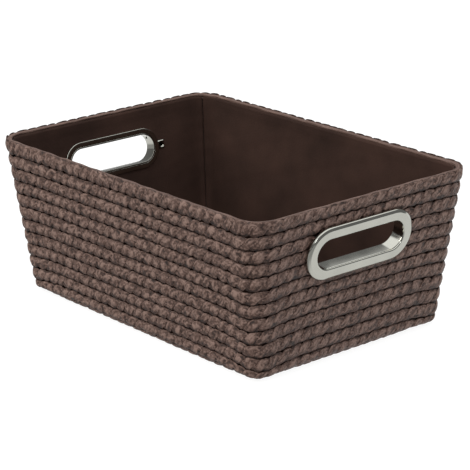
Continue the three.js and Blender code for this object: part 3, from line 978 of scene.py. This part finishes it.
class BASKET_OT_grips(bpy.types.Operator):
    """Fits the two metal grips, each a front ring and a back ring with its lugs"""

    bl_idname = "basket.grips"
    bl_label = "Grips"

    def execute(self, context):
        for side in ("right", "left"):
            grip_ring(f"grip_{side}_front", FRONT_RING, side, f"grip_{side}_front_ring")
            grip_ring(f"grip_{side}_back", BACK_RING, side, f"grip_{side}_back_ring")
            grip_lugs(f"grip_{side}_lugs", side, f"grip_{side}_back_ring")
        return {"FINISHED"}


# ---- Parts that keep their CAD shape ----

KEPT_PARTS = {
    "Frame wire": (
        "rim_wire", "foot_wire", "corner_post_back_right", "corner_post_back_left",
        "corner_post_front_left", "corner_post_front_right",
    ),
    "Stiff board": ("floor_board",),
}


class BASKET_OT_frame_parts(bpy.types.Operator):
    """Gives the wire frame and the floor board their finishes"""

    bl_idname = "basket.frame_parts"
    bl_label = "Frame Parts"

    def execute(self, context):
        for finish, names in KEPT_PARTS.items():
            for name in names:
                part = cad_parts[name]
                part.data.materials.clear()
                part.data.materials.append(finish_of(finish))
        return {"FINISHED"}


# ---- Stage ----


def add_light(name, place, target, size, power, tint=(1, 1, 1)):
    """A square soft light at a place, facing a target."""
    lamp = bpy.data.lights.new(name, "AREA")
    lamp.shape = "SQUARE"
    lamp.size = size
    lamp.energy = power
    lamp.color = tint
    holder = bpy.data.objects.new(name, lamp)
    holder.location = place
    holder.rotation_euler = (Vector(target) - Vector(place)).to_track_quat("-Z", "Y").to_euler()
    bpy.context.scene.collection.objects.link(holder)
    return holder


class BASKET_OT_stage(bpy.types.Operator):
    """Sets up the floor, the soft lights and the camera"""

    bl_idname = "basket.stage"
    bl_label = "Stage"

    def execute(self, context):
        self.make_floor()
        self.make_sky()
        stage = settings("stage")
        middle = (0, 0, 0.07)
        add_light("key_light", (-0.5, -2.3, 1.35), middle, 1.5, stage.key, (1.0, 0.96, 0.92))
        add_light("side_light", (2.0, -0.9, 1.0), middle, 0.45, stage.side, (0.97, 0.98, 1.0))
        self.make_camera()
        context.scene.view_settings.view_transform = "Standard"
        return {"FINISHED"}

    def make_floor(self):
        """A wide pale floor, lit from under like a light table. Bright metal sees it darker in
        front."""
        reach = 12.0
        points = np.array([(-1, -1, 0), (1, -1, 0), (1, 1, 0), (-1, 1, 0)]) * reach
        material, tree, shader = new_material("Pale floor", Roughness=0.9)
        shader.inputs["Base Color"].default_value = (0.14, 0.14, 0.14, 1)
        shader.inputs["Emission Color"].default_value = (1, 1, 1, 1)
        place = node(tree, "TexCoord", (-900, 0))
        parts = node(tree, "SeparateXYZ", (-720, 0), inputs={0: place.outputs["Object"]})
        front = node(tree, "MapRange", (-540, 0), inputs={
            0: parts.outputs["Y"], 1: -0.13, 2: -0.06, 3: 0.25, 4: 0.92,
        })
        path = node(tree, "LightPath", (-540, 300))
        glow = node(tree, "Mix", (-300, 0), inputs={
            "Factor": path.outputs["Is Glossy Ray"], 2: 0.92, 3: front.outputs[0],
        })
        dim = node(tree, "Mix", (-120, 0), inputs={
            "Factor": path.outputs["Is Diffuse Ray"], 2: glow.outputs[0], 3: 0.35,
        })
        tree.links.new(dim.outputs[0], shader.inputs["Emission Strength"])
        floor = make_piece("floor", points, np.array([[0, 1, 2, 3]]), material)

    def make_sky(self):
        """White where the camera looks past the floor; for light, dim round the horizon and bright
        overhead."""
        stage = settings("stage")
        world = bpy.data.worlds.new("Studio")
        world.use_nodes = True
        tree = world.node_tree
        background = tree.nodes["Background"]
        background.inputs["Color"].default_value = (1, 1, 1, 1)
        place = node(tree, "TexCoord", (-900, 0))
        parts = node(tree, "SeparateXYZ", (-720, 0), inputs={0: place.outputs["Generated"]})
        light = node(tree, "MapRange", (-540, 0), inputs={
            0: parts.outputs["Z"], 1: 0.52, 2: 0.66, 3: stage.horizon, 4: stage.sky,
        })
        path = node(tree, "LightPath", (-540, 300))
        seen = node(tree, "Mix", (-300, 0), inputs={
            "Factor": path.outputs["Is Camera Ray"], 2: light.outputs[0], 3: 1.05,
        })
        tree.links.new(seen.outputs[0], background.inputs["Strength"])
        bpy.context.scene.world = world

    def make_camera(self):
        """The camera on a sphere round the basket's middle, rolled and shifted a little."""
        stage = settings("stage")
        azimuth, elevation = stage.azimuth, stage.elevation
        back = Vector((
            math.sin(azimuth) * math.cos(elevation),
            -math.cos(azimuth) * math.cos(elevation),
            math.sin(elevation),
        ))
        target = Vector((0, 0, settings("wall").height / 2))
        lens = bpy.data.cameras.new("camera")
        lens.lens = stage.lens
        lens.sensor_width = 36
        lens.shift_x = 0.0141
        lens.shift_y = -0.0139
        lens.clip_start, lens.clip_end = 0.05, 60
        camera = bpy.data.objects.new("camera", lens)
        turn = (-back).to_track_quat("-Z", "Y").to_matrix() @ Matrix.Rotation(stage.tilt, 3, "Z")
        camera.matrix_world = Matrix.Translation(target + back * stage.distance) @ turn.to_4x4()
        bpy.context.scene.collection.objects.link(camera)
        bpy.context.scene.camera = camera


class BASKET_PT_panel(bpy.types.Panel):
    """Lists the basket's pieces in the 3D view's sidebar"""

    bl_label = "Plaited Storage Basket"
    bl_idname = "BASKET_PT_panel"
    bl_space_type = "VIEW_3D"
    bl_region_type = "UI"
    bl_category = "Basket"

    def draw(self, context):
        for operator in OPERATORS:
            self.layout.operator(operator.bl_idname)


GROUPS = {
    "wall": BasketWallSizes,
    "tape": BasketTapeSettings,
    "lining": BasketLiningSettings,
    "grip": BasketGripSettings,
    "stage": BasketStageSettings,
}
OPERATORS = (
    BASKET_OT_wall_rows,
    BASKET_OT_base_rows,
    BASKET_OT_rim_edging,
    BASKET_OT_lining,
    BASKET_OT_grips,
    BASKET_OT_frame_parts,
    BASKET_OT_stage,
)


def register():
    """Registers the classes and puts the settings on the scene."""
    for made in (*GROUPS.values(), *OPERATORS, BASKET_PT_panel):
        bpy.utils.register_class(made)
    for name, group in GROUPS.items():
        setattr(bpy.types.Scene, "basket_" + name, PointerProperty(type=group))


def unregister():
    """Takes the settings off the scene and the classes out."""
    for name in GROUPS:
        delattr(bpy.types.Scene, "basket_" + name)
    for made in reversed((*GROUPS.values(), *OPERATORS, BASKET_PT_panel)):
        bpy.utils.unregister_class(made)


def main():
    register()
    bpy.ops.basket.stage()
    bpy.ops.basket.wall_rows()
    bpy.ops.basket.base_rows()
    bpy.ops.basket.rim_edging()
    bpy.ops.basket.lining()
    bpy.ops.basket.grips()
    bpy.ops.basket.frame_parts()


if __name__ == "__main__":
    main()
